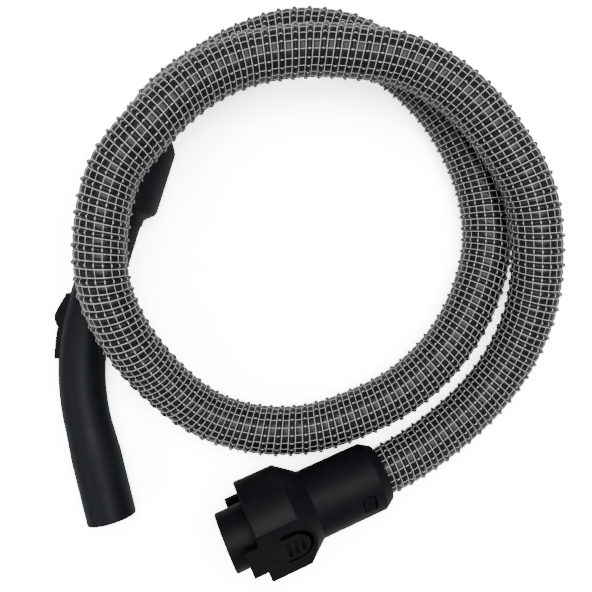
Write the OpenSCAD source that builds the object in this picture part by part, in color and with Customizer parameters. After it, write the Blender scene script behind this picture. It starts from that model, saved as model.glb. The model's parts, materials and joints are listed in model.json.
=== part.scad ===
// Hose of a canister vacuum cleaner: a ribbed hose with a latching machine connector at one end and a
// bent handle with a suction slider at the other. It lies in two loops on a surface at z = 0.
// All lengths are in millimetres and all angles in degrees.

/* [Hose] */
// Outside diameter over the helical rib
hose_d = 41; // [40:0.5:41]
// Inside diameter of the hose
hose_bore_d = 34; // [32:0.5:35]

/* [Connector] */
// Outside diameter of the spigot
spigot_d = 48; // [47:0.5:49]
// Inside diameter of the spigot
spigot_bore_d = 42; // [40:0.5:43]
// Length of the spigot that stands out of the shroud
spigot_reach = 22; // [20:0.5:25]
// Outside diameter of the shroud
shroud_d = 80; // [79:1:83]
// Distance across the two flats of the shroud
shroud_flats = 65; // [65:0.5:67]
// Length of the shroud before its taper
shroud_len = 33; // [32:0.5:35]
// Length of the taper from the shroud to the barrel
taper_len = 16; // [15:0.5:18]
// Outside diameter of the barrel
barrel_d = 55; // [55:0.5:57]
// Length of the barrel
barrel_len = 53.5; // [50:0.5:56]

/* [Latches] */
// Width of a latch at its front plate
latch_w = 26; // [24:0.5:27]
// Width of a latch at its finger grip
latch_grip_w = 21; // [18:0.5:22]
// Distance from the spigot's end to a latch's hook
latch_front = 11; // [9:0.5:13]
// Length of a latch
latch_len = 48; // [47:0.5:49]

/* [Handle] */
// Outside diameter of the handle tube
tube_d = 36.6; // [36.2:0.2:37]
// Outside diameter of the handle at the wand end
wand_end_d = 39.2; // [38.8:0.2:39.8]
// Inside diameter of the wand socket
wand_bore_d = 35; // [34.5:0.1:35.5]
// Depth of the wand socket
wand_depth = 60; // [56:0.5:61]
// Outside diameter of the swivel cuff
cuff_d = 54.5; // [54:0.5:56]
// Length of the cuff before its neck
cuff_len = 49; // [48:0.5:52]
// Angle of the handle's bend
bend_angle = 32.5; // [28:0.5:34]
// Radius of the bend at the middle of the tube
bend_r = 176; // [170:1:190]
// Length of the straight part that takes the wand
wand_leg = 77.5; // [70:0.5:85]

/* [Hidden] */
$fn = 96;

eps = 0.5;                  // how far a cutting shape runs past the face that it cuts
gap = 0.3;                  // space between pieces that move past each other
turning_gap = 0.08;         // radial play of a collar that turns in its bore

// Where the connector lies: the middle of the spigot's free end, its heading and how far it dips
spigot_end = [6.2, -147.6, 49.2];
connector_heading = 22;
connector_dip = 10.2;
latch_elevation = 62;       // how high the upper latch faces, from the horizontal

// Where the handle lies: the middle of the cuff's hose-side plane, its heading, dip and roll
cuff_start = [-61.2, 161.5, 29.9];
cuff_heading = -108.2;
cuff_dip = 3.1;
handle_roll = -84;

// Places along the connector's axis, from the spigot's free end
shroud_back = spigot_reach + shroud_len;
taper_back = shroud_back + taper_len;
barrel_back = taper_back + barrel_len;
shell_t = 3;                // wall of the connector and of the cuff
swivel_r = barrel_d / 2 - shell_t + 0.4;
cuff_swivel_r = cuff_d / 2 - shell_t;
sleeve_len = 17.7;          // length of an end ring's sleeve inside its barrel
shoulder_len = 8;           // length of an end ring's shoulder outside its barrel
collar_len = 16;
washer_t = 1.5;
seal_t = 2;
hose_r = hose_d / 2;
hose_bore_r = hose_bore_d / 2;
ring_bore_r = hose_r + 0.8;
collar_back = barrel_back - sleeve_len - gap;       // the hose starts here, on the collar's back face
collar_front = collar_back - collar_len;
washer_front = collar_front - washer_t;
seal_front = washer_front - gap - seal_t;
spigot_r = spigot_d / 2;

// Places along the cuff's axis, from its hose-side plane
cuff_collar_front = sleeve_len + gap;               // the hose ends here, on the collar's face
cuff_collar_back = cuff_collar_front + collar_len;
cuff_washer_back = cuff_collar_back + washer_t;
cuff_seal_back = cuff_washer_back + gap + seal_t;
neck_len = 14;
cuff_end = cuff_len + neck_len;
tube_r = tube_d / 2;
wand_bore_r = wand_bore_d / 2;
wand_end_r = wand_end_d / 2;
tube_bore_r = tube_r - 2.5;
leg_taper = 25;             // length over which the wand leg widens
bush_r = wand_bore_r - 0.3;
bush_len = 3;
bend_start = 132;           // from the cuff's hose-side plane to the start of the bend

// Latches and snap windows
flat_x = shroud_flats / 2;
pocket_gap = 0.5;
latch_inside_x = flat_x - 3;
latch_face_x = flat_x;
grip_face_x = flat_x + 0.8;
pivot_s = 36;
pivot_x = flat_x - 5.5;
pin_r = 1.45;
pin_hole_r = 1.5;
pin_half_len = 17.5;
lug_r = 2.6;
lug_half_w = 8;
spring_wire_r = 0.35;
tab_at = 13;                // from the mouth of a barrel to the middle of its snap windows
window_len = 11;
window_w = 13.5;

// Suction slider, in degrees around the bend's centre from the start of the bend
ramp_angle = 13;
ramp_foot = tube_r + 1.2;
guide_from = -0.4;
guide_to = 15.2;
guide_top = tube_r + 1.7;
guide_half_w = 9.2;
channel_half_w = 6;
channel_floor = tube_r + 0.7;
slider_from = 0.8;
slider_to = 7.6;
slider_top = tube_r + 6.8;
slider_half_w = 8;
vent_from = 1.4;
vent_to = 3.9;
vent_half_w = 4;

// Route of the hose's centre line, from the connector to the handle
hose_route = [
    [165, -77, 22], [203, -45, 21], [230, -8, 25], [244, 35, 36], [244, 82, 48], [235, 122, 55],
    [212, 159, 60], [184, 190, 63], [146, 213, 65], [105, 221, 66], [62, 222, 66], [19, 213, 69],
    [-16, 193, 75], [-46, 162, 82], [-70, 129, 83], [-80, 88, 81], [-79, 48, 76], [-66, 10, 61],
    [-44, -24, 38], [-12, -52, 24], [27, -65, 21], [69, -65, 21], [110, -52, 21], [147, -32, 21],
    [179, -1, 21], [201, 37, 21], [212, 79, 21], [209, 120, 21], [195, 159, 21], [172, 195, 21],
    [140, 225, 21], [101, 247, 21], [57, 251, 21], [18, 239, 21], [-20, 217, 22], [-44, 196, 25]
];
route_end_s = barrel_back + 9;
route_end_t = -12;
rings_per_span = 2;
tube_sides = 12;

function axis_dir(heading, dip) = [cos(dip) * cos(heading), cos(dip) * sin(heading), -sin(dip)];
function connector_at(s) = spigot_end + s * axis_dir(connector_heading, connector_dip);
function cuff_at(t) = cuff_start + t * axis_dir(cuff_heading, cuff_dip);
function unit(v) = v / norm(v);

// A point on the smooth curve through b and c, with a and d as the points before and after
function blend(a, b, c, d, u) =
    0.5 * (2 * b + (c - a) * u + (2 * a - 5 * b + 4 * c - d) * u * u + (3 * b - a - 3 * c + d) * u * u * u);

route_points = concat(
    [connector_at(collar_back), connector_at(route_end_s)],
    hose_route,
    [cuff_at(route_end_t), cuff_at(cuff_collar_front)]
);
last_point = len(route_points) - 1;
function route_at(i) =
    i < 0 ? 2 * route_points[0] - route_points[1] :
    i > last_point ? 2 * route_points[last_point] - route_points[last_point - 1] :
    route_points[i];
centre_line = concat(
    [for (i = [0 : last_point - 1], k = [0 : rings_per_span - 1])
        blend(route_at(i - 1), route_at(i), route_at(i + 1), route_at(i + 2), k / rings_per_span)],
    [route_points[last_point]]
);
last_ring = len(centre_line) - 1;
function ring_tangent(i) =
    i == 0 ? axis_dir(connector_heading, connector_dip) :
    i == last_ring ? axis_dir(cuff_heading, cuff_dip) :
    unit(centre_line[i + 1] - centre_line[i - 1]);

// One ring of points around the centre line
function ring(i, r) =
    let (t = ring_tangent(i), side = unit(cross(t, [0, 0, 1])), up = cross(side, t))
    [for (k = [0 : tube_sides - 1])
        let (a = 360 * k / tube_sides) centre_line[i] + r * (cos(a) * side + sin(a) * up)];

// A hollow tube: outside points come first in each ring, then inside points
module swept_tube(r_out, r_in) {
    n = tube_sides;
    points = [for (i = [0 : last_ring]) each concat(ring(i, r_out), ring(i, r_in))];
    function at(i, k, inside) = i * 2 * n + (k % n) + (inside ? n : 0);
    outside = [for (i = [0 : last_ring - 1], k = [0 : n - 1]) each [
        [at(i, k, false), at(i + 1, k, false), at(i + 1, k + 1, false)],
        [at(i, k, false), at(i + 1, k + 1, false), at(i, k + 1, false)]]];
    inside = [for (i = [0 : last_ring - 1], k = [0 : n - 1]) each [
        [at(i, k, true), at(i + 1, k + 1, true), at(i + 1, k, true)],
        [at(i, k, true), at(i, k + 1, true), at(i + 1, k + 1, true)]]];
    first_cap = [for (k = [0 : n - 1]) each [
        [at(0, k, false), at(0, k + 1, false), at(0, k + 1, true)],
        [at(0, k, false), at(0, k + 1, true), at(0, k, true)]]];
    last_cap = [for (k = [0 : n - 1]) each [
        [at(last_ring, k, false), at(last_ring, k + 1, true), at(last_ring, k + 1, false)],
        [at(last_ring, k, false), at(last_ring, k, true), at(last_ring, k + 1, true)]]];
    polyhedron(points, concat(outside, inside, first_cap, last_cap), convexity = 10);
}

// Placing: +Z runs from the spigot's end to the hose, and +X faces out through the upper latch
module place_connector() {
    translate(spigot_end)
        rotate([0, 90 + connector_dip, connector_heading])
            rotate([0, 0, -90 - latch_elevation])
                children();
}

// Placing: +Z runs from the hose to the wand, and +X faces the outside of the bend
module place_handle() {
    translate(cuff_start)
        rotate([0, 90 + cuff_dip, cuff_heading])
            rotate([0, 0, handle_roll])
                children();
}

// Placing on the bend: turns a shape drawn at the bend's start by an angle along the bend
module along_bend(angle) {
    translate([-bend_r, 0, bend_start]) rotate([0, -angle, 0]) translate([bend_r, 0, 0]) children();
}

// Sweeps a section drawn in X (outwards) and Y (sideways) around the bend's centre, between two angles
module bend_sweep(from, to) {
    translate([-bend_r, 0, bend_start])
        rotate([90, 0, 0])
            rotate_extrude(start = from, angle = to - from, $fn = 360)
                translate([bend_r, 0]) children();
}

module pipe(r_out, r_in, from, to) {
    translate([0, 0, from])
        difference() {
            cylinder(r = r_out, h = to - from);
            translate([0, 0, -eps]) cylinder(r = r_in, h = to - from + 2 * eps);
        }
}

module both_sides() {
    children();
    rotate([0, 0, 180]) children();
}

// A rectangle with round corners, with its middle at the origin
module rounded_rectangle(w, h, corner) {
    square([w, h - 2 * corner], center = true);
    square([w - 2 * corner, h], center = true);
    for (x = [-1, 1], y = [-1, 1])
        translate([x * (w / 2 - corner), y * (h / 2 - corner)]) circle(r = corner, $fn = 48);
}

// Cuts the two snap windows out of a barrel, centred at a height along it
module snap_windows(at, r) {
    both_sides()
        translate([r - shell_t - 1, 0, at]) rotate([90, 0, 90])
            linear_extrude(shell_t + 3) rounded_rectangle(window_w, window_len, 3);
}

// A ring that holds the hose's collar in a barrel: its sleeve runs to +Z from the barrel's mouth
module end_ring(sleeve_r, barrel_r) {
    tab_w = window_w - 1.6;
    tab_len = window_len - 3;
    difference() {
        union() {
            rotate_extrude() polygon([
                [0, -shoulder_len], [ring_bore_r + 0.6, -shoulder_len], [ring_bore_r + 1.5, -shoulder_len + 0.5],
                [barrel_r - 0.9, -1.3], [barrel_r - 0.2, -0.4], [barrel_r, 0], [sleeve_r, 0],
                [sleeve_r, sleeve_len], [0, sleeve_len]
            ]);
            both_sides()
                translate([ring_bore_r + 1, 0, tab_at + 0.7]) rotate([90, 0, 90])
                    linear_extrude(barrel_r - ring_bore_r - 1.5) rounded_rectangle(tab_w, tab_len, 2);
        }
        translate([0, 0, -shoulder_len - eps]) cylinder(r = ring_bore_r, h = sleeve_len + shoulder_len + 2 * eps);
        both_sides()
            for (k = [-1 : 1])
                translate([barrel_r - 1.3, -tab_w / 2 + 1.5, tab_at + 0.7 + 2 * k - 0.5])
                    cube([2, tab_w - 3, 1]);
    }
}

// A collar fixed on the hose's end, with two grease grooves
module hose_collar(r) {
    difference() {
        pipe(r, hose_bore_r, 0, collar_len);
        for (z = [4, collar_len - 6]) pipe(r + 1, r - 0.8, z, z + 2);
    }
}

module seal_ring(r_out, r_in) {
    rotate_extrude() polygon([
        [r_in, 0], [r_out, 0], [r_out, seal_t * 0.6], [r_out - 1, seal_t],
        [r_in + 1, seal_t], [r_in, seal_t * 0.6]
    ]);
}

module hose_tube() {
    color("dimgray") swept_tube(hose_r, hose_bore_r);
}

module machine_hose_collar() {
    color("dimgray") place_connector() translate([0, 0, collar_front]) hose_collar(swivel_r - turning_gap);
}

module machine_slip_washer() {
    color("white") place_connector() pipe(swivel_r - gap, hose_bore_r + 1, washer_front, collar_front);
}

module machine_swivel_seal() {
    color("darkslategray") place_connector()
        translate([0, 0, seal_front + seal_t]) mirror([0, 0, 1]) seal_ring(swivel_r - 0.4, hose_bore_r + 2);
}

module handle_hose_collar() {
    color("dimgray") place_handle()
        translate([0, 0, cuff_collar_front]) hose_collar(cuff_swivel_r - turning_gap);
}

module handle_slip_washer() {
    color("white") place_handle() pipe(cuff_swivel_r - gap, hose_bore_r + 1, cuff_collar_back, cuff_washer_back);
}

module handle_swivel_seal() {
    color("darkslategray") place_handle()
        translate([0, 0, cuff_washer_back + gap]) seal_ring(cuff_swivel_r - 0.4, hose_bore_r + 2);
}

// The slot that a latch lies in, open at the shroud's rim and round at its other end
module latch_pocket() {
    pocket_r = latch_w / 2 + pocket_gap;
    round_s = latch_front + latch_len + 3 - pocket_r;
    translate([pivot_x - 3, -pocket_r, spigot_reach - eps])
        cube([shroud_d, 2 * pocket_r, round_s - spigot_reach + eps]);
    translate([pivot_x - 3, 0, round_s]) rotate([0, 90, 0]) cylinder(r = pocket_r, h = shroud_d);
}

// Two ears inside the shroud that carry a latch pin
module pin_ears() {
    for (side = [-1, 1])
        translate([pivot_x, side * (latch_w / 2 + pocket_gap + 1.75), pivot_s])
            rotate([90, 0, 0]) difference() {
                union() {
                    cylinder(r = 2.8, h = 3.5, center = true);
                    translate([0, -2.8, -1.75]) cube([flat_x - shell_t - pivot_x + 1, 5.6, 3.5]);
                }
                cylinder(r = pin_r, h = 5, center = true);
            }
}

module housing_outside() {
    r = shroud_d / 2;
    difference() {
        rotate_extrude() polygon([
            [0, spigot_reach], [r - 1, spigot_reach], [r, spigot_reach + 1], [r, shroud_back],
            [barrel_d / 2, taper_back], [barrel_d / 2, barrel_back], [0, barrel_back]
        ]);
        both_sides()
            translate([flat_x, -shroud_d / 2, 0]) cube([shroud_d, shroud_d, barrel_back]);
    }
}

module housing_cavity() {
    r = shroud_d / 2 - shell_t;
    intersection() {
        rotate_extrude() polygon([
            [0, spigot_reach - eps], [r, spigot_reach - eps], [r, shroud_back - 1],
            [swivel_r, taper_back - 1], [0, taper_back - 1]
        ]);
        translate([-flat_x + shell_t, -shroud_d / 2, 0])
            cube([2 * (flat_x - shell_t), shroud_d, barrel_back]);
    }
    translate([0, 0, taper_back - 2]) cylinder(r = swivel_r, h = barrel_len + 2 + eps);
}

module connector_housing() {
    color("black") place_connector() union() {
        difference() {
            housing_outside();
            housing_cavity();
            both_sides() latch_pocket();
            snap_windows(barrel_back - tab_at, barrel_d / 2);
        }
        both_sides() pin_ears();
    }
}

module connector_spigot() {
    color("black") place_connector()
        rotate_extrude() polygon([
            [spigot_bore_d / 2, 0], [spigot_r - 1, 0], [spigot_r, 1], [spigot_r, spigot_reach],
            [spigot_r - 0.5, spigot_reach], [spigot_r - 0.5, taper_back + 1],
            [swivel_r, taper_back + 1], [swivel_r, seal_front],
            [hose_bore_r, seal_front], [hose_bore_r, seal_front - 3],
            [spigot_bore_d / 2, seal_front - 8]
        ]);
}

module machine_end_ring() {
    color("black") place_connector()
        translate([0, 0, barrel_back]) mirror([0, 0, 1]) end_ring(swivel_r, barrel_d / 2);
}

module latch_pin() {
    place_pin() cylinder(r = pin_r, h = 2 * pin_half_len, center = true);
}

module place_pin() {
    translate([pivot_x, 0, pivot_s]) rotate([90, 0, 0]) children();
}

module latch_body() {
    grip_r = latch_grip_w / 2;
    grip_mid = latch_front + latch_len - grip_r;
    plate_back = latch_front + 27.5;
    difference() {
        union() {
            translate([latch_inside_x, -latch_w / 2, latch_front])
                cube([latch_face_x - latch_inside_x, latch_w, plate_back - latch_front]);
            translate([pivot_x, -latch_w / 2 + 1, latch_front])
                cube([latch_face_x - pivot_x, latch_w - 2, 3]);
            translate([latch_inside_x, -grip_r, plate_back - 4])
                cube([grip_face_x - latch_inside_x, latch_grip_w, grip_mid - plate_back + 4]);
            translate([latch_inside_x, 0, grip_mid]) rotate([0, 90, 0])
                cylinder(r = grip_r, h = grip_face_x - latch_inside_x);
            place_pin() cylinder(r = lug_r, h = 2 * lug_half_w, center = true);
            translate([pivot_x, -lug_half_w, pivot_s - lug_r])
                cube([latch_inside_x - pivot_x + 1, 2 * lug_half_w, 2 * lug_r]);
        }
        place_pin() cylinder(r = pin_hole_r, h = 2 * lug_half_w + 2, center = true);
        for (k = [0 : 2])
            translate([grip_face_x - 2.4, -grip_r + 3 + k * 0.6, grip_mid - 8 + k * 5.4])
                cube([3, latch_grip_w - 6 - 1.2 * k, 3]);
        translate([latch_face_x - 0.5, -9, latch_front + 9]) cube([1, 18, 12]);
    }
}

// A close-wound torsion spring beside the lug, with one leg under the plate and one on the spigot's side
module latch_spring_coil() {
    coil_r = 2;
    turns = 5;
    pitch = 2 * spring_wire_r * 0.93;
    first_y = lug_half_w + 0.8;
    leg_y = first_y + (turns - 1) * pitch;
    translate([pivot_x, first_y, pivot_s]) rotate([-90, 0, 0])
        rotate_extrude()
            for (k = [0 : turns - 1])
                translate([coil_r, k * pitch]) circle(r = spring_wire_r, $fn = 24);
    leg_r = spring_wire_r - 0.06;
    translate([pivot_x + coil_r, first_y, pivot_s - 9]) cylinder(r = leg_r, h = 9, $fn = 24);
    translate([pivot_x - coil_r, leg_y, pivot_s]) cylinder(r = leg_r, h = 7, $fn = 24);
}

module upper_latch_pin() { color("silver") place_connector() latch_pin(); }
module lower_latch_pin() { color("silver") place_connector() rotate([0, 0, 180]) latch_pin(); }
module upper_latch() { color("black") place_connector() latch_body(); }
module lower_latch() { color("black") place_connector() rotate([0, 0, 180]) latch_body(); }
module upper_latch_spring() { color("silver") place_connector() latch_spring_coil(); }
module lower_latch_spring() { color("silver") place_connector() rotate([0, 0, 180]) latch_spring_coil(); }

// The hole under the slider that lets air into the tube
module vent_cut() {
    bend_sweep(vent_from, vent_to)
        translate([tube_bore_r - 1, -vent_half_w]) square([8, 2 * vent_half_w]);
}

module handle_tube() {
    color("black") place_handle() pipe(tube_r, tube_bore_r, cuff_seal_back, bend_start);
}

module handle_bend() {
    color("black") place_handle() difference() {
        bend_sweep(0, bend_angle) difference() {
            circle(r = tube_r, $fn = 96);
            circle(r = tube_bore_r, $fn = 96);
        }
        vent_cut();
    }
}

module handle_wand_leg() {
    stop = wand_leg - wand_depth;
    color("black") place_handle() along_bend(bend_angle) rotate_extrude() polygon([
        [tube_bore_r, 0], [tube_r, 0], [wand_end_r, leg_taper], [wand_end_r, wand_leg - 1.4],
        [wand_end_r - 0.4, wand_leg - 0.4], [wand_end_r - 1.2, wand_leg], [wand_bore_r, wand_leg],
        [wand_bore_r, stop], [bush_r, stop], [bush_r, stop - bush_len], [tube_bore_r, stop - bush_len]
    ]);
}

module handle_cuff() {
    r = cuff_d / 2;
    color("black") place_handle() difference() {
        rotate_extrude() polygon([
            [cuff_swivel_r, 0], [r, 0], [r, cuff_len], [r - 1.2, cuff_len + 2.6], [tube_r + 1.6, cuff_len + 8],
            [tube_r + 0.9, cuff_len + 10], [tube_r + 0.8, cuff_end], [tube_r, cuff_end],
            [tube_r, cuff_seal_back], [cuff_swivel_r, cuff_seal_back]
        ]);
        rotate([0, 0, 90]) snap_windows(tab_at, r);
    }
}

module handle_end_ring() {
    color("black") place_handle() rotate([0, 0, 90]) end_ring(cuff_swivel_r, cuff_d / 2);
}

// Placing: +Z runs up the ramp that the guide's front end and the slider's front share
module place_ramp() {
    along_bend(guide_from) translate([ramp_foot, 0, 0]) rotate([0, ramp_angle, 0]) children();
}

// Everything above the ramp
module ramp_cut() {
    place_ramp() translate([0, -20, -15]) cube([20, 40, 80]);
}

// Everything above a slope that falls towards the wand and ends at a height x
module rear_cut(angle, x, slope) {
    along_bend(angle) translate([x, 0, 0]) rotate([0, -slope, 0])
        translate([0, -20, -15]) cube([20, 40, 30]);
}

// A bar's section with its two outer corners cut off
module capped_section(foot, top, half_w, corner) {
    polygon([
        [foot, -half_w], [top - corner, -half_w], [top, -half_w + corner],
        [top, half_w - corner], [top - corner, half_w], [foot, half_w]
    ]);
}

// The track on the outside of the bend: a low block with a channel for the slider
module slider_guide() {
    color("black") place_handle() difference() {
        bend_sweep(guide_from, guide_to) difference() {
            capped_section(tube_r - 5, guide_top, guide_half_w, 0.9);
            circle(r = tube_r + 0.05, $fn = 96);
        }
        bend_sweep(slider_from - 0.8, guide_to - 0.9)
            translate([channel_floor, -channel_half_w]) square([10, 2 * channel_half_w]);
        ramp_cut();
        rear_cut(guide_to, tube_r + 0.8, 35);
        vent_cut();
    }
}

module vent_grille() {
    color("black") place_handle() {
        for (side = [-1, 0, 1])
            bend_sweep(vent_from, vent_to)
                translate([tube_bore_r + 0.4, side * (vent_half_w - 0.5) - 0.5]) square([1.2, 1]);
        for (angle = [vent_from, (vent_from + vent_to) / 2 - 0.12, vent_to - 0.25])
            bend_sweep(angle, angle + 0.25)
                translate([tube_bore_r + 0.4, -vent_half_w]) square([1.2, 2 * vent_half_w]);
    }
}

module slider_detent_spring() {
    color("silver") place_handle() bend_sweep(slider_to + 0.6, guide_to - 1.2)
        translate([channel_floor, -3]) square([0.25, 6]);
}

module suction_slider() {
    base_x = channel_floor + 2 * gap;
    cap_x = guide_top + gap;
    color("black") place_handle() difference() {
        union() {
            bend_sweep(slider_from, slider_to)
                translate([base_x, -channel_half_w + gap]) square([cap_x - base_x + 0.5, 2 * (channel_half_w - gap)]);
            bend_sweep(slider_from, slider_to) capped_section(cap_x, slider_top, slider_half_w, 1.7);
        }
        ramp_cut();
        rear_cut(slider_to, cap_x + 0.6, 32);
        place_ramp()
            for (z = [12.6, 14.8, 17])
                translate([-0.7, -slider_half_w + 2.5, z]) cube([3, 2 * slider_half_w - 5, 0.9]);
    }
}

module wand_stop_bush() {
    color("black") place_handle() along_bend(bend_angle)
        pipe(bush_r, tube_bore_r + 0.5, wand_leg - wand_depth - bush_len, wand_leg - wand_depth);
}

hose_tube();
machine_hose_collar();
machine_slip_washer();
handle_hose_collar();
handle_slip_washer();
connector_housing();
connector_spigot();
machine_end_ring();
machine_swivel_seal();
upper_latch_pin();
lower_latch_pin();
upper_latch();
upper_latch_spring();
lower_latch();
lower_latch_spring();
handle_tube();
handle_bend();
handle_wand_leg();
handle_cuff();
handle_end_ring();
handle_swivel_seal();
slider_guide();
vent_grille();
slider_detent_spring();
wand_stop_bush();
suction_slider();
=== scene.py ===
import json
import math

import bpy
import numpy as np
from mathutils import Matrix, Vector


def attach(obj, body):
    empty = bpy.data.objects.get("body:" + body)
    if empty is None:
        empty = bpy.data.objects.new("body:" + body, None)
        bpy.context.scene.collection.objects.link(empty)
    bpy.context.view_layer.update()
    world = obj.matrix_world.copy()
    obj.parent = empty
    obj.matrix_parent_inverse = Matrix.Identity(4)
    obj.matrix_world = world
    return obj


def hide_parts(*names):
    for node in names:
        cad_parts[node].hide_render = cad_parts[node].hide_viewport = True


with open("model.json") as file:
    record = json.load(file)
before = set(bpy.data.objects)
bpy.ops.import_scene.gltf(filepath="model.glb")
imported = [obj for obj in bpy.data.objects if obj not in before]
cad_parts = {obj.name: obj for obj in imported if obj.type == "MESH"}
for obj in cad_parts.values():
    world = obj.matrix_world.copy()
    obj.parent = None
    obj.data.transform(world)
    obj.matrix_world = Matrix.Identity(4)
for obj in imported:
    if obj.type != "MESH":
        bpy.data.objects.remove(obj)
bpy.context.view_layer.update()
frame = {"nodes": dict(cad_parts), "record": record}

MM = 0.001

# ---------------------------------------------------------------- camera
cam = bpy.data.objects.new("camera", bpy.data.cameras.new("camera"))
bpy.context.collection.objects.link(cam)
cam.data.lens = 44
cam.data.sensor_width = 36
cam.location = (0.060, 0.041, 0.600)
cam.rotation_euler = (0, 0, 0)
cam.data.clip_start = 0.01
bpy.context.scene.camera = cam

# ---------------------------------------------------------------- the frame's placings, as in the CAD
SPIGOT_END = Vector((0.0062, -0.1476, 0.0492))
CONNECTOR_HEADING, CONNECTOR_DIP, LATCH_ELEVATION = 22, 10.2, 62
CUFF_START = Vector((-0.0612, 0.1615, 0.0299))
CUFF_HEADING, CUFF_DIP, HANDLE_ROLL = -108.2, 3.1, -84
BARREL_BACK = 124.5 * MM
COLLAR_BACK = 106.5 * MM
SLEEVE = 18 * MM

# The hose's centre line, from the connector to the handle, in metres
ROUTE = [
    (0.165, -0.077, 0.022), (0.203, -0.045, 0.021), (0.230, -0.008, 0.025), (0.244, 0.035, 0.036),
    (0.244, 0.082, 0.048), (0.235, 0.122, 0.055), (0.212, 0.159, 0.060), (0.184, 0.190, 0.063),
    (0.146, 0.213, 0.065), (0.105, 0.221, 0.066), (0.062, 0.222, 0.066), (0.019, 0.213, 0.069),
    (-0.016, 0.193, 0.075), (-0.046, 0.162, 0.082), (-0.070, 0.129, 0.083), (-0.080, 0.088, 0.081),
    (-0.079, 0.048, 0.076), (-0.066, 0.010, 0.061), (-0.044, -0.024, 0.038), (-0.012, -0.052, 0.024),
    (0.027, -0.065, 0.021), (0.069, -0.065, 0.021), (0.110, -0.052, 0.021), (0.147, -0.032, 0.021),
    (0.179, -0.001, 0.021), (0.201, 0.037, 0.021), (0.212, 0.079, 0.021), (0.209, 0.120, 0.021),
    (0.195, 0.159, 0.021), (0.172, 0.195, 0.021), (0.140, 0.225, 0.021), (0.101, 0.247, 0.021),
    (0.057, 0.251, 0.021), (0.018, 0.239, 0.021), (-0.020, 0.217, 0.022), (-0.044, 0.196, 0.025),
]


def placing(start, heading, dip, roll):
    """The matrix of a part that lies along its own +Z, with +X towards its upper or outer side."""
    return (Matrix.Translation(start) @ Matrix.Rotation(math.radians(heading), 4, "Z")
            @ Matrix.Rotation(math.radians(90 + dip), 4, "Y") @ Matrix.Rotation(math.radians(roll), 4, "Z"))


CONNECTOR = placing(SPIGOT_END, CONNECTOR_HEADING, CONNECTOR_DIP, -90 - LATCH_ELEVATION)
HANDLE = placing(CUFF_START, CUFF_HEADING, CUFF_DIP, HANDLE_ROLL)


def along_z(place, z):
    return place @ Vector((0, 0, z))


# ---------------------------------------------------------------- materials
def material(name, color, roughness, specular=0.5, metallic=0.0):
    m = bpy.data.materials.new(name)
    m.use_nodes = True
    b = m.node_tree.nodes["Principled BSDF"]
    b.inputs["Base Color"].default_value = (*color, 1)
    b.inputs["Roughness"].default_value = roughness
    b.inputs["Specular IOR Level"].default_value = specular
    b.inputs["Metallic"].default_value = metallic
    return m


def node(m, kind, **values):
    n = m.node_tree.nodes.new(kind)
    for key, value in values.items():
        if key in n.inputs.keys():
            n.inputs[key].default_value = value
        else:
            setattr(n, key, value)
    return n


def join(m, a, b):
    m.node_tree.links.new(a, b)


def bsdf(m):
    return m.node_tree.nodes["Principled BSDF"]


def ramp(m, fac, stops):
    """A colour ramp with the given (position, colour or grey) stops."""
    r = node(m, "ShaderNodeValToRGB")
    el = r.color_ramp.elements
    while len(el) < len(stops):
        el.new(0.5)
    for e, (at, c) in zip(el, stops):
        e.position = at
        e.color = (*c, 1) if isinstance(c, tuple) else (c, c, c, 1)
    join(m, fac, r.inputs["Fac"])
    return r.outputs["Color"]


EDGE_ROUNDING = 0.45 * MM


def moulded(name, color, roughness, grain=2200, depth=0.12, specular=0.5):
    """Moulded plastic: a fine spark-eroded grain, slow patches of gloss, and softened edges."""
    m = material(name, color, roughness, specular)
    coords = node(m, "ShaderNodeTexCoord")
    slow = node(m, "ShaderNodeTexNoise", Scale=38.0, Detail=4.0, Roughness=0.55)
    join(m, coords.outputs["Object"], slow.inputs["Vector"])
    rough = ramp(m, slow.outputs["Fac"], [(0.3, roughness - 0.06), (0.7, roughness + 0.07)])
    join(m, rough, bsdf(m).inputs["Roughness"])
    darker = tuple(c * 0.85 for c in color)
    lighter = tuple(c * 1.2 for c in color)
    tint = ramp(m, slow.outputs["Fac"], [(0.3, darker), (0.75, lighter)])
    join(m, tint, bsdf(m).inputs["Base Color"])
    fine = node(m, "ShaderNodeTexNoise", Scale=float(grain), Detail=3.0, Roughness=0.6)
    join(m, coords.outputs["Object"], fine.inputs["Vector"])
    bevel = node(m, "ShaderNodeBevel", samples=4)
    bevel.inputs["Radius"].default_value = EDGE_ROUNDING
    bump = node(m, "ShaderNodeBump", Strength=depth, Distance=0.15 * MM)
    join(m, fine.outputs["Fac"], bump.inputs["Height"])
    join(m, bevel.outputs["Normal"], bump.inputs["Normal"])
    join(m, bump.outputs["Normal"], bsdf(m).inputs["Normal"])
    return m


BLACK = moulded("body_plastic", (0.0044, 0.0056, 0.0074), 0.48, specular=0.15)
HANDLE_BLACK = moulded("handle_plastic", (0.0066, 0.0086, 0.0118), 0.48, specular=0.22)
LATCH_BLACK = moulded("latch_plastic", (0.0048, 0.0054, 0.0064), 0.34, depth=0.08, specular=0.19)
INNER_BLACK = moulded("collar_plastic", (0.006, 0.0065, 0.007), 0.5, specular=0.25)
RUBBER = moulded("seal_rubber", (0.010, 0.010, 0.010), 0.75, grain=900, depth=0.2, specular=0.25)
ACETAL = moulded("washer_acetal", (0.72, 0.72, 0.69), 0.4, grain=1500, depth=0.08)


def drawn_steel():
    m = material("spring_steel", (0.34, 0.34, 0.35), 0.32, metallic=1.0)
    coords = node(m, "ShaderNodeTexCoord")
    noise = node(m, "ShaderNodeTexNoise", Scale=1400.0, Detail=2.0)
    join(m, coords.outputs["Object"], noise.inputs["Vector"])
    join(m, ramp(m, noise.outputs["Fac"], [(0.3, 0.2), (0.7, 0.38)]), bsdf(m).inputs["Roughness"])
    return m


STEEL = drawn_steel()


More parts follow.
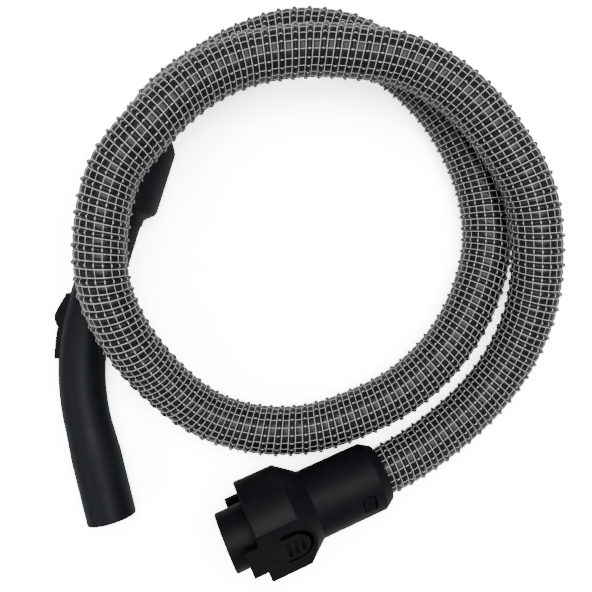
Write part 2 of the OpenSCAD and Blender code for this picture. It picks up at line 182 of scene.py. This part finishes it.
def hose_wall_material():
    """Glossy black wall with fine streaks round the hose: streaked roughness and bump, and a painted sheen
    where the streaks' base colour lightens to grey. U runs along the hose and V round it.
    """
    m = material("hose_wall", (0.004, 0.0045, 0.005), 0.3, 0.35)
    uv = node(m, "ShaderNodeUVMap", uv_map="along")
    stretch = node(m, "ShaderNodeMapping")
    stretch.inputs["Scale"].default_value = (26.0, 5.0, 1.0)
    join(m, uv.outputs["UV"], stretch.inputs["Vector"])
    streaks = node(m, "ShaderNodeTexNoise", Scale=1.0, Detail=4.0, Roughness=0.65)
    join(m, stretch.outputs["Vector"], streaks.inputs["Vector"])
    join(m, ramp(m, streaks.outputs["Fac"], [(0.38, 0.16), (0.62, 0.42)]), bsdf(m).inputs["Roughness"])
    # Painted sheen: the base colour lightens from near black to pale grey where the streak noise is high,
    # standing in for highlights on the wall's flats.
    tint = ramp(m, streaks.outputs["Fac"], [(0.42, (0.0012, 0.0016, 0.002)), (0.58, (0.009, 0.011, 0.013)),
                                            (0.68, (0.07, 0.076, 0.083))])
    join(m, tint, bsdf(m).inputs["Base Color"])
    bump = node(m, "ShaderNodeBump", Strength=1.0, Distance=0.09 * MM)
    join(m, streaks.outputs["Fac"], bump.inputs["Height"])
    join(m, bump.outputs["Normal"], bsdf(m).inputs["Normal"])
    return m


def thread_material():
    """Pale silver thread, twisted from two strands."""
    m = material("hose_thread", (0.9, 0.91, 0.92), 0.36, 0.6, metallic=0.15)
    coords = node(m, "ShaderNodeTexCoord")
    noise = node(m, "ShaderNodeTexNoise", Scale=900.0, Detail=3.0)
    join(m, coords.outputs["Object"], noise.inputs["Vector"])
    join(m, ramp(m, noise.outputs["Fac"], [(0.3, (0.52, 0.54, 0.57)), (0.65, (0.95, 0.97, 1.0))]),
         bsdf(m).inputs["Base Color"])
    return m


HOSE_WALL = hose_wall_material()
THREAD = thread_material()


# ---------------------------------------------------------------- the hose
def blend_curve(points, steps):
    """The smooth curve through the points, as part.scad draws it."""
    p = np.array([2 * points[0] - points[1], *points, 2 * points[-1] - points[-2]])
    out = []
    for i in range(1, len(p) - 2):
        a, b, c, d = p[i - 1], p[i], p[i + 1], p[i + 2]
        for u in np.arange(steps) / steps:
            out.append(0.5 * (2 * b + (c - a) * u + (2 * a - 5 * b + 4 * c - d) * u * u
                              + (3 * b - a - 3 * c + d) * u ** 3))
    out.append(p[-2])
    return np.array(out)


ENDS = [along_z(CONNECTOR, COLLAR_BACK), along_z(CONNECTOR, BARREL_BACK + 9 * MM),
        along_z(HANDLE, -12 * MM), along_z(HANDLE, SLEEVE)]
control = np.array([list(ENDS[0]), list(ENDS[1]), *ROUTE, list(ENDS[2]), list(ENDS[3])])
dense = blend_curve(control, 60)
dense_s = np.concatenate([[0], np.cumsum(np.linalg.norm(np.diff(dense, axis=0), axis=1))])
HOSE_LENGTH = float(dense_s[-1])
LINE_STEP = 1.0 * MM
line_s = np.linspace(0, HOSE_LENGTH, int(HOSE_LENGTH / LINE_STEP) + 1)
line = np.stack([np.interp(line_s, dense_s, dense[:, k]) for k in range(3)], axis=1)
tangent = np.gradient(line, line_s, axis=0)
for _ in range(12):                                     # ease the small kinks at the route's points
    tangent[1:-1] = (tangent[:-2] + 2 * tangent[1:-1] + tangent[2:]) / 4
tangent /= np.linalg.norm(tangent, axis=1)[:, None]
side = np.zeros_like(line)                              # carried along without twist
side[0] = np.cross(tangent[0], (0, 0, 1))
for i in range(len(line)):
    s = side[max(i - 1, 0)]
    s = s - tangent[i] * (s @ tangent[i])
    side[i] = s / np.linalg.norm(s)
up = np.cross(side, tangent)


PITCH = 10.6 * MM
GRIPPED = 30 * MM           # the length at each end that lies in an end ring and a collar
GRIPPED_BY = 0.03           # how much slimmer the hose is there, as a share of its radius


def on_hose(s, angle, radius):
    """Points at these lengths along the hose, angles round it and distances from its middle, in metres."""
    s = np.clip(s, 0, HOSE_LENGTH)
    from_end = np.minimum(s, HOSE_LENGTH - s)
    radius = radius * (1 - GRIPPED_BY * np.clip((GRIPPED - from_end) / (0.2 * GRIPPED) + 1, 0, 1))

    def at(field):
        return np.stack([np.interp(s, line_s, field[:, k]) for k in range(3)], axis=-1)
    c, a, b = at(line), at(side), at(up)
    return c + radius[..., None] * (np.cos(angle)[..., None] * a + np.sin(angle)[..., None] * b)


TURNS = HOSE_LENGTH / PITCH
FOOT = 2.55                 # from the rib's crest to the spiral thread at each of its feet, in millimetres
# The wall's profile across one turn: distance along from the rib's crest, and radius, in millimetres
WALL = np.array([
    (-FOOT, 18.8), (-2.2, 18.6), (-1.8, 18.5), (-1.45, 19.3), (-0.85, 20.25), (0, 20.5), (0.85, 20.25),
    (1.45, 19.3), (1.8, 18.5), (2.2, 18.6), (FOOT, 18.8), (3.7, 19.12), (5.3, 19.3), (6.9, 19.12),
]) * MM
FLAT_FROM = 10                                          # the sample where the flat between two ribs starts


def grid_mesh(name, points, faces, mat, uvs=None):
    mesh = bpy.data.meshes.new(name)
    mesh.from_pydata(points.reshape(-1, 3).tolist(), [], faces.tolist())
    mesh.materials.append(mat)
    if uvs is not None:
        layer = mesh.uv_layers.new(name="along")
        layer.data.foreach_set("uv", uvs.reshape(-1).astype(np.float32))
    mesh.polygons.foreach_set("use_smooth", [True] * len(mesh.polygons))
    mesh.update()
    o = bpy.data.objects.new(name, mesh)
    bpy.context.collection.objects.link(o)
    return o


def spiral_wall():
    """The ribbed wall as one spiral strip: a row follows one sample of the profile once round the hose."""
    around, per_turn = 40, len(WALL)
    rows = int(TURNS + 2) * per_turn
    i, j = np.meshgrid(np.arange(rows), np.arange(around), indexing="ij")
    s = (i // per_turn + j / around - 1) * PITCH + WALL[i % per_turn, 0]
    points = on_hose(s, 2 * np.pi * j / around, WALL[i % per_turn, 1])
    index = i * around + j
    nxt = np.concatenate([index[:, 1:], np.full((rows, 1), -1)], axis=1)
    nxt[:-per_turn, -1] = index[per_turn:, 0]           # the end of a row meets the row one turn further on
    a, b, c, d = index[:-1], nxt[:-1], nxt[1:], index[1:]
    ok = (b >= 0) & (c >= 0) & (s[1:] > 0) & (s[:-1] < HOSE_LENGTH)
    faces = np.stack([a[ok], b[ok], c[ok], d[ok]], axis=1)
    u = np.stack([s[:-1][ok], s[:-1][ok], s[1:][ok], s[1:][ok]], axis=1) / PITCH
    v0 = (j[:-1][ok]) / around
    v = np.stack([v0, v0 + 1 / around, v0 + 1 / around, v0], axis=1)
    return grid_mesh("hose_wall", points, faces, HOSE_WALL, np.stack([u, v], axis=2))


def strip_mesh(name, rows, mat):
    """Joins rows of points, given as (strand, step, point across, xyz), into low ribbons."""
    strands, steps, across, _ = rows.shape
    index = np.arange(strands * steps * across).reshape(strands, steps, across)
    a, b = index[:, :-1, :-1], index[:, :-1, 1:]
    c, d = index[:, 1:, 1:], index[:, 1:, :-1]
    return grid_mesh(name, rows, np.stack([a, b, c, d], axis=-1).reshape(-1, 4), mat)


THREADS = 20                # threads along the hose
THREAD_R = 19 * MM          # distance from the hose's middle at which a thread's width is measured
THREAD_SINKS = -0.04 * MM   # where a thread's two edges lie, below the wall
FLAT_RISE = 0.13 * MM
BRIDGE_RISE = 0.16 * MM


def ribbon(angle, s, radius, half, rise):
    """One low ribbon along the hose at an angle round it: five points across at each length s."""
    section = ((-1, THREAD_SINKS), (-0.6, rise * 0.8), (0, rise), (0.6, rise * 0.8), (1, THREAD_SINKS))
    return np.stack([on_hose(s, angle + across * half / THREAD_R, radius + lift) for across, lift in section],
                    axis=1)


def long_threads():
    """The threads along the hose: on the wall between two ribs, and bridging each rib, widest on its crest."""
    flat = np.array([WALL[k] for k in range(FLAT_FROM, len(WALL))] + [WALL[0] + (PITCH, 0)])
    flat_half = np.full(len(flat), 0.21) * MM
    bridge = np.array([
        (-2.3, 18.55), (-1.75, 18.95), (-1.3, 19.65), (-0.75, 20.32), (0, 20.55), (0.75, 20.32), (1.3, 19.65),
        (1.75, 18.95), (2.3, 18.55),
    ]) * MM
    bridge_half = np.array([0.08, 0.1, 0.14, 0.36, 0.44, 0.36, 0.14, 0.1, 0.08]) * MM
    pieces = []
    for name, samples, half, rise in (
            ("flat", flat, flat_half, FLAT_RISE), ("rib", bridge, bridge_half, BRIDGE_RISE)):
        strands = []
        for k in range(THREADS):
            angle = 2 * math.pi * k / THREADS
            for turn in range(int(TURNS)):
                s = (turn + k / THREADS) * PITCH + samples[:, 0]
                if s[0] >= 0 and s[-1] <= HOSE_LENGTH:
                    strands.append(ribbon(angle, s, samples[:, 1], half, rise))
        pieces.append(strip_mesh("hose_threads_" + name, np.stack(strands), THREAD))
    return pieces


def spiral_threads():
    """The pair of threads at the two feet of the rib."""
    per_turn = 40
    steps = np.arange(int(TURNS * per_turn)) / per_turn
    section = ((-0.32, 18.75), (-0.18, 19.12), (0.18, 19.12), (0.32, 18.75))
    rows = []
    for foot in (-FOOT - 0.1, FOOT + 0.1):
        strand = [on_hose(steps * PITCH + (foot + across) * MM, 2 * np.pi * steps, np.full(len(steps), r * MM))
                  for across, r in section]
        rows.append(np.stack(strand, axis=1))
    return strip_mesh("hose_spiral_threads", np.stack(rows), THREAD)


wall = spiral_wall()
hose_pieces = [*long_threads(), spiral_threads()]
for piece in (wall, *hose_pieces):
    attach(piece, "hose")
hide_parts("hose_tube")

# ---------------------------------------------------------------- the CAD nodes that show, and their materials
FINISH = {
    "collar_plastic": INNER_BLACK, "washer_acetal": ACETAL, "seal_rubber": RUBBER, "spring_steel": STEEL,
    "latch_plastic": LATCH_BLACK, "slider_plastic": LATCH_BLACK, "body_plastic": BLACK,
}
for part in frame["record"]["subparts"]:
    if part["material_slot"] in FINISH:
        o = frame["nodes"][part["node"]]
        finish = FINISH[part["material_slot"]]
        if finish is BLACK and part["node"].startswith("handle_"):
            finish = HANDLE_BLACK
        if not o.material_slots:
            o.data.materials.append(finish)
        for socket in o.material_slots:
            socket.material = finish

# ---------------------------------------------------------------- floor, lights and background
FLOOR_GLOW = 17.0           # how far the camera's view of the floor is lifted
FLOOR_HALF = 40             # half the floor's side, in metres


def floor():
    """A plain pale floor. What the camera sees of it is lifted to the white of a lit product table."""
    mesh = bpy.data.meshes.new("floor")
    h = FLOOR_HALF
    mesh.from_pydata([(-h, -h, 0), (h, -h, 0), (h, h, 0), (-h, h, 0)], [], [(0, 1, 2, 3)])
    o = bpy.data.objects.new("floor", mesh)
    bpy.context.collection.objects.link(o)
    m = bpy.data.materials.new("floor")
    m.use_nodes = True
    m.node_tree.nodes.clear()
    out = node(m, "ShaderNodeOutputMaterial")
    plain = node(m, "ShaderNodeBsdfDiffuse", Color=(0.82, 0.82, 0.82, 1))
    lifted = node(m, "ShaderNodeBsdfDiffuse", Color=(FLOOR_GLOW, FLOOR_GLOW, FLOOR_GLOW, 1))
    path = node(m, "ShaderNodeLightPath")
    mix = node(m, "ShaderNodeMixShader")
    join(m, path.outputs["Is Camera Ray"], mix.inputs["Fac"])
    join(m, plain.outputs[0], mix.inputs[1])
    join(m, lifted.outputs[0], mix.inputs[2])
    join(m, mix.outputs[0], out.inputs["Surface"])
    mesh.materials.append(m)


def softbox(name, place, aim, size, power):
    lamp = bpy.data.lights.new(name, "AREA")
    lamp.shape = "RECTANGLE"
    lamp.size, lamp.size_y = size
    lamp.energy = power
    o = bpy.data.objects.new(name, lamp)
    bpy.context.collection.objects.link(o)
    o.location = place
    o.rotation_euler = (Vector(aim) - Vector(place)).to_track_quat("-Z", "Y").to_euler()


floor()
softbox("overhead", (0.25, 0.35, 1.6), (0.05, 0.0, 0.0), (1.3, 1.0), 20)
softbox("fill", (-1.2, -0.6, 1.2), (0, 0, 0), (1.0, 1.0), 4)
world = bpy.data.worlds.new("studio")
bpy.context.scene.world = world
world.use_nodes = True
world.node_tree.nodes["Background"].inputs["Color"].default_value = (1, 1, 1, 1)
world.node_tree.nodes["Background"].inputs["Strength"].default_value = 0.40
